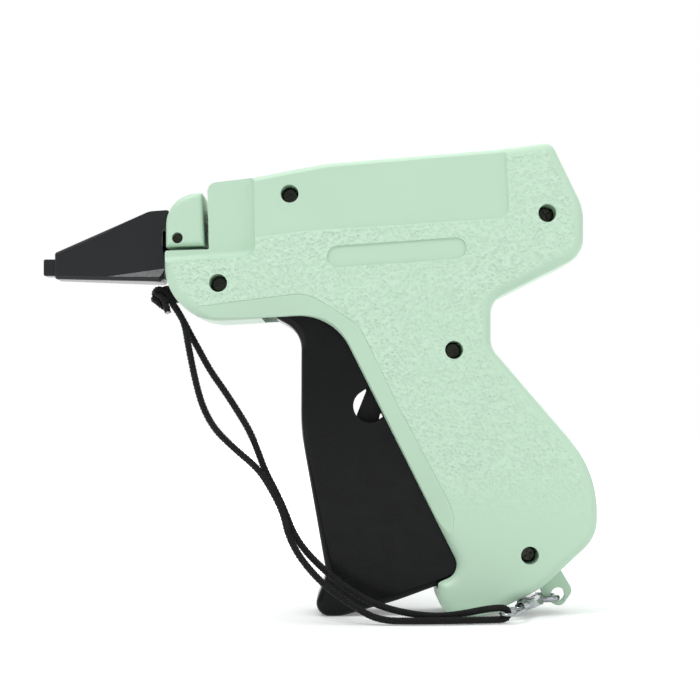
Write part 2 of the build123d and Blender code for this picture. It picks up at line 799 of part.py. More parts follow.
room_half = cap_half - cap_relief - cap_wall
with BuildPart() as cap_room:
    with BuildSketch(Plane.XZ):
        add(inset(cap_corners, cap_wall))
        with BuildLine():
            Polyline(*cap_mouth, close=True)
        make_face()
    extrude(amount=cap_half, both=True)
    add(
        cap_plan(
            [
                (cap_front, cap_tip_half - cap_wall),
                (ledge_start, cap_side(ledge_start) - cap_wall),
                (cap_back, room_half),
                (cap_back + over, room_half),
            ]
        ),
        mode=Mode.INTERSECT,
    )

with BuildPart() as needle_cap:
    with BuildSketch(Plane.XZ):
        add(rounded(cap_corners))
    extrude(amount=cap_half, both=True)
    add(
        cap_plan(
            [(cap_front - 1, cap_side(cap_front - 1)), (cap_back, cap_half), (cap_back + over, cap_half)],
        ),
        mode=Mode.INTERSECT,
    )
    side_edges = needle_cap.faces().filter_by(lambda f: abs(f.normal_at().Y) > 0.9).edges()
    fillet(side_edges, radius=cap_edge_r)
    for side in (-1, 1):
        add(cap_relief_cut(side), mode=Mode.SUBTRACT)
    # short blunt nozzle at the tip
    add(plate_across(rounded(cap_tip_corners), -cap_nozzle_half, cap_nozzle_half))
    add(cap_room.part, mode=Mode.SUBTRACT)
    # wall across the back, with the seat that grips the needle's base
    add(box_on_barrel(*cap_seat_place, cap_seat_low, cap_seat_high, -room_half - sink, room_half + sink))
    add(rod_on_barrel(base_front, base_back, base_r + pin_fit), mode=Mode.SUBTRACT)

# ---------------------------------------------------------------- rod, slider and spring
bush_back = bush_front + bush_length
spring_start = bush_back + bush_flange

with BuildPart() as rod_bush:
    add(box_on_barrel(bush_front, bush_back, -bush_half, bush_half, -bush_half, bush_half))
    add(box_on_barrel(bush_back, spring_start, -bush_half, bush_half, -flange_half, flange_half))
    add(rod_on_barrel(bush_front, spring_start, rod_r + pin_fit), mode=Mode.SUBTRACT)

with BuildPart() as ejector_rod:
    add(rod_on_barrel(rod_tip, slider_start + rod_hold, rod_r))

with BuildPart() as slider:
    add(box_on_barrel(slider_start, slider_end, slider_low, slider_top, -slider_half, slider_half))
    # slot that the lever's fork comes up in
    slot_half = lever_half + side_gap
    add(
        box_on_barrel(
            drive_rest - fork_room, drive_rest + fork_room, slider_low, fork_ceiling, -slot_half, slot_half
        ),
        mode=Mode.SUBTRACT,
    )
    # grooves that run on the housing's rails
    for side in (-1, 1):
        groove = ordered(side, slider_half - groove_depth, slider_half)
        add(box_on_barrel(slider_start, slider_end, -groove_half, groove_half, *groove), mode=Mode.SUBTRACT)
    add(rod_on_barrel(slider_start, slider_start + rod_hold, rod_r), mode=Mode.SUBTRACT)
    drive_place = on_barrel(drive_rest, drive_drop)
    add(pin_across(drive_place, drive_pin_r, -slider_half, slider_half), mode=Mode.SUBTRACT)

with BuildPart() as drive_pin:
    add(pin_across(drive_place, drive_pin_r, side_gap - slider_half, slider_half - side_gap))

with BuildPart() as return_spring:
    spring_length = slider_start - spring_start - 2 * spring_wire_r
    spring_x, spring_z = on_barrel(spring_start + spring_wire_r)
    with BuildLine():
        coil = Helix(
            pitch=spring_length / spring_turns,
            height=spring_length,
            radius=spring_r,
            center=(spring_x, 0, spring_z),
            direction=along,
        )
    with BuildSketch(Plane(origin=coil @ 0, z_dir=coil % 0)):
        Circle(spring_wire_r)
    sweep(path=coil, is_frenet=True)

with BuildPart() as end_bumper:
    add(box_on_barrel(bumper_start, rail_end, -bumper_height, bumper_height, -bumper_half, bumper_half))
    for side in (-1, 1):
        rail = ordered(side, rail_tip, bumper_half)
        add(box_on_barrel(bumper_start, rail_end, -rail_half, rail_half, *rail), mode=Mode.SUBTRACT)

# ---------------------------------------------------------------- drive lever
def lever_arm_plane(angle):
    """Plane at the lever's pivot whose x runs out along an arm at an angle from +X towards +Z."""
    a = radians(angle)
    return Plane(origin=(lever_pivot[0], 0, lever_pivot[1]), x_dir=(cos(a), 0, sin(a)), z_dir=(0, -1, 0))


fork_half = drive_pin_r + drive_play + fork_wall
link_fork_half = link_pin_r + link_play + fork_wall
fork_end = drive_reach + fork_reach
link_fork_end = link_reach + link_pin_r + link_play

with BuildPart() as drive_lever:
    with BuildSketch(lever_arm_plane(drive_angle)):
        Circle(lever_hub_r)
        with BuildLine():
            FilletPolyline(
                [(0, lever_neck_half), (fork_end, fork_half), (fork_end, -fork_half), (0, -lever_neck_half)],
                radius=[0, fork_edge_r, fork_edge_r, 0],
                close=True,
            )
        make_face()
        fork_slot = drive_pin_r + drive_play
        slot_from = lever_height - drive_pin_r - drive_play
        with Locations((slot_from + fork_slot, 0)):
            Circle(fork_slot, mode=Mode.SUBTRACT)
        with Locations(((slot_from + fork_slot + fork_end + over) / 2, 0)):
            Rectangle(fork_end + over - slot_from - fork_slot, 2 * fork_slot, mode=Mode.SUBTRACT)
        Circle(lever_pin_r + pin_fit, mode=Mode.SUBTRACT)
    extrude(amount=lever_half, both=True)
    with BuildSketch(lever_arm_plane(link_angle)):
        with BuildLine():
            FilletPolyline(
                [
                    (link_fork_root, link_fork_half),
                    (link_fork_end, link_fork_half),
                    (link_fork_end, -link_fork_half),
                    (link_fork_root, -link_fork_half),
                ],
                radius=[0, fork_edge_r, fork_edge_r, 0],
                close=True,
            )
        make_face()
    extrude(amount=lever_half, both=True)
    with BuildSketch(Plane.XZ):
        with BuildLine():
            Polyline(*lever_wing_points, close=True)
        make_face()
    extrude(amount=lever_half, both=True)
    with BuildSketch(lever_arm_plane(link_angle)):
        link_slot = link_pin_r + link_play
        slot_from = link_end_reach - link_slot
        with Locations((slot_from + link_slot, 0)):
            Circle(link_slot)
        with Locations(((slot_from + link_slot + link_fork_end + over) / 2, 0)):
            Rectangle(link_fork_end + over - slot_from - link_slot, 2 * link_slot)
    extrude(amount=lever_half, both=True, mode=Mode.SUBTRACT)

with BuildPart() as lever_pin:
    lever_pin_half = inner_half - pin_cover - pin_end_gap
    add(pin_across(lever_pivot, lever_pin_r, -lever_pin_half, lever_pin_half))

# ---------------------------------------------------------------- trigger
trigger_inner = trigger_half - trigger_wall
slot_reach = hypot(lever_pivot[0] - trigger_pivot[0], lever_pivot[1] - trigger_pivot[1])
slot_angle = degrees(atan2(lever_pivot[1] - trigger_pivot[1], lever_pivot[0] - trigger_pivot[0]))

with BuildPart() as trigger:
    add(plate_across(rounded(trigger_corners), -trigger_half, trigger_half))
    fillet(trigger.faces().sort_by(Axis.Y)[0].edges(), radius=trigger_edge_r)
    fillet(trigger.faces().sort_by(Axis.Y)[-1].edges(), radius=trigger_edge_r)
    # channel, open at the back and at the top
    with BuildSketch(Plane.XZ):
        add(inset(trigger_corners, trigger_wall))
        add(rounded(trigger_back_corners))
        add(rounded(trigger_top_corners))
    extrude(amount=trigger_inner, both=True, mode=Mode.SUBTRACT)
    # slots round the housing's bosses for the lever's pin
    with BuildSketch(Plane.XZ):
        with BuildLine():
            slot_start = slot_angle - trigger_range
            slot_line = CenterArc(trigger_pivot, slot_reach, slot_start, trigger_range + lever_slot_past)
        SlotArc(slot_line, height=2 * (lever_boss_r + lever_boss_play))
    extrude(amount=trigger_half, both=True, mode=Mode.SUBTRACT)
    add(pin_across(trigger_pivot, trigger_pin_r + pin_fit, -trigger_half, trigger_half), mode=Mode.SUBTRACT)
    add(pin_across(link_pin_place, link_pin_r, -trigger_half, trigger_half), mode=Mode.SUBTRACT)

with BuildPart() as trigger_pin:
    trigger_pin_half = shell_half - pin_cover - pin_end_gap
    add(pin_across(trigger_pivot, trigger_pin_r, -trigger_pin_half, trigger_pin_half))

with BuildPart() as link_pin:
    link_pin_half = trigger_half + link_pin_proud
    add(pin_across(link_pin_place, link_pin_r, -link_pin_half, link_pin_half))

# ---------------------------------------------------------------- fastener feed
def toothed(profile, count):
    """Closed toothed outline; the profile is (radius, degrees) over one pitch."""
    pitch = 360 / count
    points = []
    for tooth in range(count):
        for radius, angle in profile:
            a = radians(tooth * pitch + angle)
            points.append((radius * cos(a), radius * sin(a)))
    with BuildSketch() as outline:
        with BuildLine():
            Polyline(*points, close=True)
        make_face()
    return outline.sketch


with BuildPart() as feed_wheel:
    with BuildSketch(across_barrel(feed_place)):
        with Locations((feed_y, feed_height)):
            add(toothed(feed_tooth, feed_teeth))
            Circle(feed_axle_r, mode=Mode.SUBTRACT)
    extrude(amount=feed_thickness)

with BuildPart() as ratchet_wheel:
    with BuildSketch(across_barrel(ratchet_place)):
        with Locations((feed_y, feed_height)):
            add(toothed(ratchet_tooth, feed_teeth))
            Circle(feed_axle_r, mode=Mode.SUBTRACT)
    extrude(amount=ratchet_thickness)

with BuildPart() as feed_axle:
    add(rod_on_barrel(feed_place, feed_place + feed_axle_length, feed_axle_r, feed_y, feed_height))

with BuildPart() as pawl:
    add(pawl_leaf)

# ---------------------------------------------------------------- wrist strap
with BuildPart() as strap_anchor:
    add(plate_across(rounded(anchor_corners), -anchor_half, anchor_half))

with BuildPart() as strap_knot:
    add(plate_across(rounded(knot_corners), -knot_half, knot_half))
    fillet(strap_knot.faces().filter_by(Axis.Y).edges(), radius=knot_edge_r)
    add(
        plate_across(inset(anchor_corners, -knot_fit), -anchor_half - knot_fit, anchor_half + knot_fit),
        mode=Mode.SUBTRACT,
    )

strap_radii = []
for before, here, after in zip(strap_points, strap_points[1:], strap_points[2:]):
    arriving = Vector(*here) - Vector(*before)
    leaving = Vector(*after) - Vector(*here)
    turn = radians(arriving.get_angle(leaving))
    strap_radii.append(cord_corner * min(arriving.length, leaving.length) / tan(turn / 2))
print("strap radii", [round(radius, 1) for radius in strap_radii])

with BuildPart() as wrist_strap:
    with BuildLine():
        strap_path = FilletPolyline(strap_points, radius=strap_radii)
    with BuildSketch(Plane(origin=strap_path @ 0, z_dir=strap_path % 0)):
        Circle(cord_r)
    sweep(path=strap_path)
strap_length = strap_path.length
print("strap", round(strap_length, 1), "mm;", wrist_strap.part.volume / (pi * cord_r**2 * strap_length))

# ---------------------------------------------------------------- clasp
clasp_centre = tab_hole[0] - hook_play - hook_r
clasp_angle = radians(clasp_turn)
clasp_way = Vector(-cos(clasp_angle), -sin(clasp_angle), 0)  # from the ring tab to the strap, seen from above
fall = radians(clasp_fall)
clasp_plane = Plane(
    origin=(clasp_centre, tab_thickness / 2, clasp_z),
    x_dir=clasp_way * cos(fall) - Vector(0, 0, sin(fall)),
    z_dir=clasp_way * sin(fall) + Vector(0, 0, cos(fall)),
)
clasp_axis = Axis(clasp_plane.origin, clasp_plane.z_dir)
print("gate joint", clasp_plane.from_local_coords((*gate_pivot, 0)), "axis", clasp_plane.z_dir * -1)


def along_clasp(distance):
    """Plane square to the clasp's length at a distance from the centre of its hook."""
    place = clasp_plane.from_local_coords((distance, 0, 0))
    return Plane(origin=place, x_dir=clasp_plane.z_dir, z_dir=clasp_plane.x_dir)


with BuildPart() as clasp_body:
    # hook
    hook_start = radians(hook_from)
    hook_origin = clasp_plane.from_local_coords((hook_r * cos(hook_start), hook_r * sin(hook_start), 0))
    hook_tangent = clasp_plane.from_local_coords((-sin(hook_start), cos(hook_start), 0)) - clasp_plane.origin
    with BuildSketch(Plane(origin=hook_origin, x_dir=clasp_plane.z_dir, z_dir=hook_tangent)):
        Circle(hook_wire_r)
    revolve(axis=clasp_axis, revolution_arc=360 + hook_to - hook_from)
    # flat body with ears for the gate
    with BuildSketch(clasp_plane):
        with BuildLine():
            Polyline(*clasp_body_points, close=True)
        make_face()
    extrude(amount=clasp_half, both=True)
    for side in (-1, 1):
        with BuildSketch(clasp_plane.offset(side * ear_low)):
            with Locations(gate_pivot):
                Circle(ear_r)
            with Locations((gate_pivot[0], gate_pivot[1] / 2)):
                Rectangle(2 * ear_r, -gate_pivot[1])
        extrude(amount=side * (ear_high - ear_low))
    with BuildSketch(clasp_plane.offset(-ear_high)):
        with Locations(gate_pivot):
            Circle(gate_pin_r)
    extrude(amount=2 * ear_high, mode=Mode.SUBTRACT)
    # barrel of the swivel
    with BuildSketch(along_clasp(clasp_barrel[0])):
        Circle(clasp_barrel_r)
    extrude(amount=clasp_barrel[1] - clasp_barrel[0])
    with BuildSketch(along_clasp(clasp_barrel[0] + clasp_barrel_end)):
        Circle(swivel_r + pin_fit)
    extrude(amount=clasp_barrel[1] - clasp_barrel[0], mode=Mode.SUBTRACT)

with BuildPart() as clasp_gate:
    with BuildSketch(clasp_plane):
        with BuildLine():
            Polyline(*gate_points, close=True)
        make_face()
        with Locations(gate_pivot):
            Circle(gate_pin_r + pin_fit, mode=Mode.SUBTRACT)
    extrude(amount=gate_half, both=True)

with BuildPart() as gate_pin:
    with BuildSketch(clasp_plane):
        with Locations(gate_pivot):
            Circle(gate_pin_r)
    extrude(amount=ear_high, both=True)

with BuildPart() as clasp_eye:
    with BuildSketch(along_clasp(clasp_barrel[0] + clasp_barrel_end)):
        Circle(swivel_r)
    extrude(amount=eye_near - eye_r - clasp_barrel[0] - clasp_barrel_end)
    with BuildLine(clasp_plane):
        Line((eye_near, eye_r), (eye_far, eye_r))
        CenterArc((eye_far, 0), eye_r, 90, -180)
        Line((eye_far, -eye_r), (eye_near, -eye_r))
        eye_end = CenterArc((eye_near, 0), eye_r, 270, -180)
    with BuildSketch(Plane(origin=eye_end @ 0.5, z_dir=eye_end % 0.5)):
        Circle(eye_wire_r)
    sweep()

for name, piece in {
    "left_shell": left_shell,
    "right_shell": right_shell,
    "case_screws": case_screws,
    "needle_holder": needle_holder,
    "nose_block": nose_block,
    "nose_screw": nose_screw,
    "needle_base": needle_base,
    "needle_tube": needle_tube,
    "needle_cap": needle_cap,
    "rod_bush": rod_bush,
    "ejector_rod": ejector_rod,
    "slider": slider,
    "drive_pin": drive_pin,
    "return_spring": return_spring,
    "end_bumper": end_bumper,
    "drive_lever": drive_lever,
    "lever_pin": lever_pin,
    "trigger": trigger,
    "trigger_pin": trigger_pin,
    "link_pin": link_pin,
    "feed_wheel": feed_wheel,
    "feed_axle": feed_axle,
    "ratchet_wheel": ratchet_wheel,
    "pawl": pawl,
    "strap_anchor": strap_anchor,
    "strap_knot": strap_knot,
    "wrist_strap": wrist_strap,
    "clasp_body": clasp_body,
    "clasp_gate": clasp_gate,
    "gate_pin": gate_pin,
    "clasp_eye": clasp_eye,
}.items():
    piece.part.label = name
    export_step(piece.part, f"parts/{name}.step")
    box = piece.part.bounding_box()
    low = [round(v, 2) for v in box.min]
    high = [round(v, 2) for v in box.max]
    print(f"{name}: {len(piece.part.solids())} solids, {piece.part.volume:.1f} mm3, {low} to {high}")
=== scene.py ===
# Garment tag attacher: finishes, braided strap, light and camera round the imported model
import bpy
import bmesh
import math
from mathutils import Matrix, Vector


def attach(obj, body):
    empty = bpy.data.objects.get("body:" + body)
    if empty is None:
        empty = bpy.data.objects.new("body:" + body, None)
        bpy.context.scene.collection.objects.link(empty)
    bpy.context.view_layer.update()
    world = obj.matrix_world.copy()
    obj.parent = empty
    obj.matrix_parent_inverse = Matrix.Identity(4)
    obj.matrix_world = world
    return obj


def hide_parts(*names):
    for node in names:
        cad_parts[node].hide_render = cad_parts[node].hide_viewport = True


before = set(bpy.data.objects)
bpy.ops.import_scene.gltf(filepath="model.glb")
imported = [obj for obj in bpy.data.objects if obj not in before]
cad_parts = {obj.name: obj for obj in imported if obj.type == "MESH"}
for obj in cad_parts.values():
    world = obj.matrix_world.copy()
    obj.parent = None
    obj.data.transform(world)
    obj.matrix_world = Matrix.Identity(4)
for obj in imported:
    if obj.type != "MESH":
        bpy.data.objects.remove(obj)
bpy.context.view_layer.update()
mm = 0.001
scene = bpy.context.scene
print("frame loaded:", len(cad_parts), "nodes")


def addNode(tree, kind, links=None, **settings):
    # one node with its settings; links maps an input to a socket or a plain value
    node = tree.nodes.new(kind)
    for key, value in settings.items():
        setattr(node, key, value)
    for key, value in (links or {}).items():
        if isinstance(value, bpy.types.NodeSocket):
            tree.links.new(value, node.inputs[key])
        else:
            node.inputs[key].default_value = value
    return node


def fromHex(text):
    # sRGB hex to the linear colour that the shaders work in
    parts = [int(text[i:i + 2], 16) / 255 for i in (1, 3, 5)]
    return tuple(c / 12.92 if c <= 0.04045 else ((c + 0.055) / 1.055) ** 2.4 for c in parts) + (1.0,)


def startMaterial(name):
    material = bpy.data.materials.new(name)
    material.use_nodes = True
    tree = material.node_tree
    tree.nodes.clear()
    shader = addNode(tree, "ShaderNodeBsdfPrincipled")
    addNode(tree, "ShaderNodeOutputMaterial", {"Surface": shader.outputs["BSDF"]})
    place = addNode(tree, "ShaderNodeTexCoord")
    return material, tree, shader, place


# ---- camera: level, a little above the middle of the gun, looking along +Y
cameraSet = {"place": (0.00816, -0.450, 0.0549), "lens": 83.1, "sensor": 36.0, "lift": 0.0929}
camera = bpy.data.objects.new("camera", bpy.data.cameras.new("camera"))
camera.data.lens = cameraSet["lens"]
camera.data.sensor_width = cameraSet["sensor"]
camera.data.sensor_fit = "HORIZONTAL"
camera.data.shift_y = cameraSet["lift"]
camera.data.clip_start = 0.01
camera.location = cameraSet["place"]
camera.rotation_euler = (math.radians(90), 0, 0)
scene.collection.objects.link(camera)
scene.camera = camera
print("camera set")


# ---- finishes

def mintAbs():
    # Pastel ABS, injection moulded: soft sheen, spark-eroded leather grain on the raised side faces only,
    # fine satin elsewhere, and a hairline where the two halves meet.
    opts = {
        "colour": "#BDDAC3", "shade": "#B6D4BC", "roughness": (0.34, 0.46), "ior": 1.53,
        "grain": 0.9 * mm, "grainHeight": 0.42 * mm, "grainFrom": 13.36 * mm, "grainTo": 13.48 * mm,
        "warpScale": 0.6, "warp": 1.6, "creaseScale": 0.45, "highlightFrom": -0.35, "highlightTo": 0.25,
        # the grain-top tint below (from, to, colour) is a painted highlight on the raised grain
        "highlightColour": "#C5E2CB", "patch": 22 * mm, "patchLow": 0.75, "heelFrom": 20 * mm, "heelTo": 46 * mm,
        "satin": 0.35 * mm, "satinDepth": 0.012 * mm, "cloud": 35 * mm,
        "seam": 0.11 * mm, "seamDepth": 0.08 * mm, "seamColour": "#7FA58B",
    }
    material, tree, shader, place = startMaterial("moulded mint ABS, leather grained")
    spot = place.outputs["Object"]
    split = addNode(tree, "ShaderNodeSeparateXYZ", {0: spot})
    width = addNode(tree, "ShaderNodeMath", {0: split.outputs["Y"]}, operation="ABSOLUTE")
    raised = addNode(tree, "ShaderNodeMapRange", {
        "Value": width.outputs[0], "From Min": opts["grainFrom"], "From Max": opts["grainTo"]})
    aboveHeel = addNode(tree, "ShaderNodeMapRange", {
        "Value": split.outputs["Z"], "From Min": opts["heelFrom"], "From Max": opts["heelTo"]},
        interpolation_type="SMOOTHSTEP")
    grained = addNode(tree, "ShaderNodeMath", {0: raised.outputs[0], 1: aboveHeel.outputs[0]},
                      operation="MULTIPLY")
    # creased cells, pushed about so that no two are alike
    push = addNode(tree, "ShaderNodeTexNoise", {
        "Vector": spot, "Scale": opts["warpScale"] / opts["grain"], "Detail": 3.0})
    pushed = addNode(tree, "ShaderNodeVectorMath", {0: push.outputs["Color"], 1: (0.5, 0.5, 0.5)},
                     operation="SUBTRACT")
    pushScaled = addNode(tree, "ShaderNodeVectorMath", {
        0: pushed.outputs[0], "Scale": opts["grain"] * opts["warp"]}, operation="SCALE")
    moved = addNode(tree, "ShaderNodeVectorMath", {0: spot, 1: pushScaled.outputs[0]}, operation="ADD")
    cells = addNode(tree, "ShaderNodeTexVoronoi", {
        "Vector": moved.outputs[0], "Scale": 1 / opts["grain"], "Smoothness": 0.35},
        feature="SMOOTH_F1")
    creases = addNode(tree, "ShaderNodeTexNoise", {
        "Vector": moved.outputs[0], "Scale": opts["creaseScale"] / opts["grain"], "Detail": 4.0,
        "Roughness": 0.6})
    relief = addNode(tree, "ShaderNodeMath", {0: cells.outputs["Distance"], 1: creases.outputs["Fac"]},
                     operation="SUBTRACT")
    # worn flatter in places
    patches = addNode(tree, "ShaderNodeTexNoise", {"Vector": spot, "Scale": 1 / opts["patch"], "Detail": 1.0})
    patchy = addNode(tree, "ShaderNodeMapRange", {
        "Value": patches.outputs["Fac"], "From Min": 0.4, "From Max": 0.6, "To Min": opts["patchLow"]})
    grainShare = addNode(tree, "ShaderNodeMath", {0: patchy.outputs[0], 1: grained.outputs[0]},
                         operation="MULTIPLY")
    reliefOn = addNode(tree, "ShaderNodeMath", {0: relief.outputs[0], 1: grainShare.outputs[0]},
                       operation="MULTIPLY")
    satin = addNode(tree, "ShaderNodeTexNoise", {"Vector": spot, "Scale": 1 / opts["satin"], "Detail": 2.0})
    seam = addNode(tree, "ShaderNodeMapRange", {
        "Value": width.outputs[0], "From Min": 0.0, "From Max": opts["seam"]})
    facing = addNode(tree, "ShaderNodeSeparateXYZ", {0: place.outputs["Normal"]})
    sideways = addNode(tree, "ShaderNodeMath", {0: facing.outputs["Y"]}, operation="ABSOLUTE")
    # 1 on surfaces that face sideways, where there is no seam
    plain = addNode(tree, "ShaderNodeMapRange", {
        "Value": sideways.outputs[0], "From Min": 0.4, "From Max": 0.6})
    seamOff = addNode(tree, "ShaderNodeMath", {0: seam.outputs[0], 1: plain.outputs[0]},
                      operation="MAXIMUM")
    bumpSatin = addNode(tree, "ShaderNodeBump", {
        "Height": satin.outputs["Fac"], "Strength": 0.25, "Distance": opts["satinDepth"]})
    bumpGrain = addNode(tree, "ShaderNodeBump", {
        "Height": reliefOn.outputs[0], "Strength": 1.0, "Distance": opts["grainHeight"],
        "Normal": bumpSatin.outputs[0]})
    bumpSeam = addNode(tree, "ShaderNodeBump", {
        "Height": seamOff.outputs[0], "Strength": 0.8, "Distance": opts["seamDepth"],
        "Normal": bumpGrain.outputs[0]})
    cloud = addNode(tree, "ShaderNodeTexNoise", {"Vector": spot, "Scale": 1 / opts["cloud"], "Detail": 2.0})
    tint = addNode(tree, "ShaderNodeMix", {
        "Factor": cloud.outputs["Fac"], "A": fromHex(opts["colour"]), "B": fromHex(opts["shade"])},
        data_type="RGBA")
    # painted highlight: the tops of the grain are tinted lighter than its creases, as if they caught the
    # light
    paintedHighlight = addNode(tree, "ShaderNodeMapRange", {
        "Value": relief.outputs[0], "From Min": opts["highlightFrom"], "From Max": opts["highlightTo"]})
    highlightShare = addNode(tree, "ShaderNodeMath", {0: paintedHighlight.outputs[0], 1: grainShare.outputs[0]},
                       operation="MULTIPLY")
    highlightTint = addNode(tree, "ShaderNodeMix", {
        "Factor": highlightShare.outputs[0], "A": tint.outputs["Result"], "B": fromHex(opts["highlightColour"])},
        data_type="RGBA")
    seamTint = addNode(tree, "ShaderNodeMix", {
        "Factor": seamOff.outputs[0], "A": fromHex(opts["seamColour"]), "B": highlightTint.outputs["Result"]},
        data_type="RGBA")
    gloss = addNode(tree, "ShaderNodeMapRange", {
        "Value": satin.outputs["Fac"], "To Min": opts["roughness"][0], "To Max": opts["roughness"][1]})
    tree.links.new(seamTint.outputs["Result"], shader.inputs["Base Color"])
    tree.links.new(gloss.outputs[0], shader.inputs["Roughness"])
    tree.links.new(bumpSeam.outputs[0], shader.inputs["Normal"])
    shader.inputs["IOR"].default_value = opts["ior"]
    return material


def pressedPlastic(name, opts):
    # Plain moulded plastic: even colour with a slow drift, a faint ripple and a roughness that wanders
    # a little.
    driftSize = 24 * mm
    material, tree, shader, place = startMaterial(name)
    spot = place.outputs["Object"]
    ripple = addNode(tree, "ShaderNodeTexNoise", {
        "Vector": spot, "Scale": 1 / opts["ripple"], "Detail": 3.0, "Roughness": 0.55})
    drift = addNode(tree, "ShaderNodeTexNoise", {"Vector": spot, "Scale": 1 / driftSize, "Detail": 2.0})
    tint = addNode(tree, "ShaderNodeMix", {
        "Factor": drift.outputs["Fac"], "A": fromHex(opts["colour"]), "B": fromHex(opts["shade"])},
        data_type="RGBA")
    gloss = addNode(tree, "ShaderNodeMapRange", {
        "Value": ripple.outputs["Fac"], "From Min": 0.3, "From Max": 0.7,
        "To Min": opts["roughness"][0], "To Max": opts["roughness"][1]})
    bump = addNode(tree, "ShaderNodeBump", {
        "Height": ripple.outputs["Fac"], "Strength": opts["bump"], "Distance": opts["depth"]})
    tree.links.new(tint.outputs["Result"], shader.inputs["Base Color"])
    tree.links.new(gloss.outputs[0], shader.inputs["Roughness"])
    tree.links.new(bump.outputs[0], shader.inputs["Normal"])
    shader.inputs["IOR"].default_value = opts["ior"]
    shader.inputs["Specular IOR Level"].default_value = opts.get("mirror", 0.5)
    return material


def rolledMetal(name, opts):
    # Bare or plated metal: fine hair scratches along the part and cloudy roughness.
    cloudSize, hairDepth = 3 * mm, 0.01 * mm
    material, tree, shader, place = startMaterial(name)
    stretch = addNode(tree, "ShaderNodeMapping", {
        "Vector": place.outputs["Object"], "Scale": opts["stretch"]})
    hairs = addNode(tree, "ShaderNodeTexNoise", {
        "Vector": stretch.outputs[0], "Scale": 1 / opts["hair"], "Detail": 4.0, "Roughness": 0.65})
    cloud = addNode(tree, "ShaderNodeTexNoise", {
        "Vector": place.outputs["Object"], "Scale": 1 / cloudSize, "Detail": 2.0})
    both = addNode(tree, "ShaderNodeMath", {0: hairs.outputs["Fac"], 1: cloud.outputs["Fac"]},
                   operation="MULTIPLY")
    gloss = addNode(tree, "ShaderNodeMapRange", {
        "Value": both.outputs[0], "From Min": 0.1, "From Max": 0.45,
        "To Min": opts["roughness"][0], "To Max": opts["roughness"][1]})
    bump = addNode(tree, "ShaderNodeBump", {
        "Height": hairs.outputs["Fac"], "Strength": opts["bump"], "Distance": hairDepth})
    tint = addNode(tree, "ShaderNodeMix", {
        "Factor": cloud.outputs["Fac"], "A": fromHex(opts["colour"]), "B": fromHex(opts["shade"])},
        data_type="RGBA")
    tree.links.new(tint.outputs["Result"], shader.inputs["Base Color"])
    tree.links.new(gloss.outputs[0], shader.inputs["Roughness"])
    tree.links.new(bump.outputs[0], shader.inputs["Normal"])
    shader.inputs["Metallic"].default_value = 1.0
    return material


def braidedNylon():
    # Braided nylon: matt black with a soft sheen, and filaments along every strand, drawn a little coarser
    # than the real 0.03 mm so that they show.
    opts = {
        "colour": "#050506", "light": "#121314", "roughness": (0.42, 0.66), "ior": 1.53, "mirror": 0.22,
        "filament": 0.16 * mm, "ridges": 38.0, "twist": 0.9 / mm, "ridgeDepth": 0.04 * mm,
        "sheen": 0.03, "sheenRoughness": 0.4,
    }
    material, tree, shader, place = startMaterial("braided black nylon")
    around = addNode(tree, "ShaderNodeAttribute", attribute_name="around")
    alongStrand = addNode(tree, "ShaderNodeAttribute", attribute_name="along")
    turn = addNode(tree, "ShaderNodeMath", {0: alongStrand.outputs["Fac"], 1: opts["twist"]},
                   operation="MULTIPLY")
    phase = addNode(tree, "ShaderNodeMath", {
        0: around.outputs["Fac"], 1: opts["ridges"], 2: turn.outputs[0]}, operation="MULTIPLY_ADD")
    wave = addNode(tree, "ShaderNodeMath", {0: phase.outputs[0]}, operation="SINE")
    fuzz = addNode(tree, "ShaderNodeTexNoise", {
        "Vector": place.outputs["Object"], "Scale": 1 / opts["filament"], "Detail": 2.0})
    height = addNode(tree, "ShaderNodeMath", {0: wave.outputs[0], 1: 0.5, 2: fuzz.outputs["Fac"]},
                     operation="MULTIPLY_ADD")
    bump = addNode(tree, "ShaderNodeBump", {
        "Height": height.outputs[0], "Strength": 0.5, "Distance": opts["ridgeDepth"]})
    tint = addNode(tree, "ShaderNodeMix", {
        "Factor": fuzz.outputs["Fac"], "A": fromHex(opts["colour"]), "B": fromHex(opts["light"])},
        data_type="RGBA")
    gloss = addNode(tree, "ShaderNodeMapRange", {
        "Value": fuzz.outputs["Fac"], "To Min": opts["roughness"][0], "To Max": opts["roughness"][1]})
    tree.links.new(tint.outputs["Result"], shader.inputs["Base Color"])
    tree.links.new(gloss.outputs[0], shader.inputs["Roughness"])
    tree.links.new(bump.outputs[0], shader.inputs["Normal"])
    shader.inputs["IOR"].default_value = opts["ior"]
    shader.inputs["Specular IOR Level"].default_value = opts["mirror"]
    shader.inputs["Sheen Weight"].default_value = opts["sheen"]
    shader.inputs["Sheen Roughness"].default_value = opts["sheenRoughness"]
    return material


def cutEnd():
    # Melted and cut nylon end: paler, waxy, and a little lumpy.
    return pressedPlastic("heat-sealed nylon end", {
        "colour": "#C9C6BD", "shade": "#A8A59B", "roughness": (0.35, 0.55), "ior": 1.53,
        "ripple": 0.5 * mm, "bump": 0.6, "depth": 0.1 * mm})


